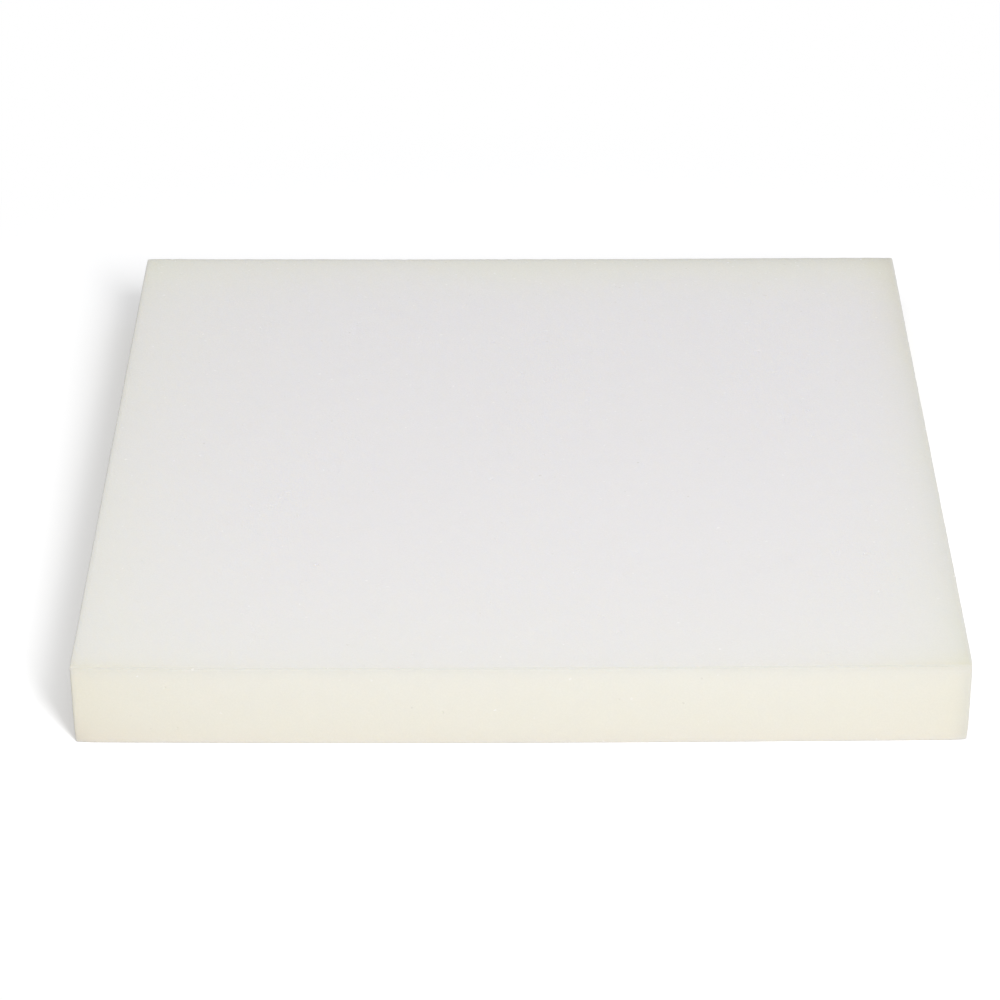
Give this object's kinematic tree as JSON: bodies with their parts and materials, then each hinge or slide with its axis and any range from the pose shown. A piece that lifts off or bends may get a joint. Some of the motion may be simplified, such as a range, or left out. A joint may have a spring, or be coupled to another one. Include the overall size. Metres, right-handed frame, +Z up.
{
  "type": "foam block",
  "caption": "Square slab of flexible open-cell polyurethane foam with sawn faces and softened edges, used as a seat pad, cushion core or soft bench support.",
  "frame": {"origin": "middle of the lower face, on the surface that the slab lies on", "axes": "+Z up through the thickness, +X to the right along the width, -Y towards the front edge"},
  "size_m": [0.5, 0.5, 0.05],
  "materials": {
    "foam": "matte"
  },
  "bodies": {
    "root": {"foam_block": "foam"}
  },
  "joints": []
}
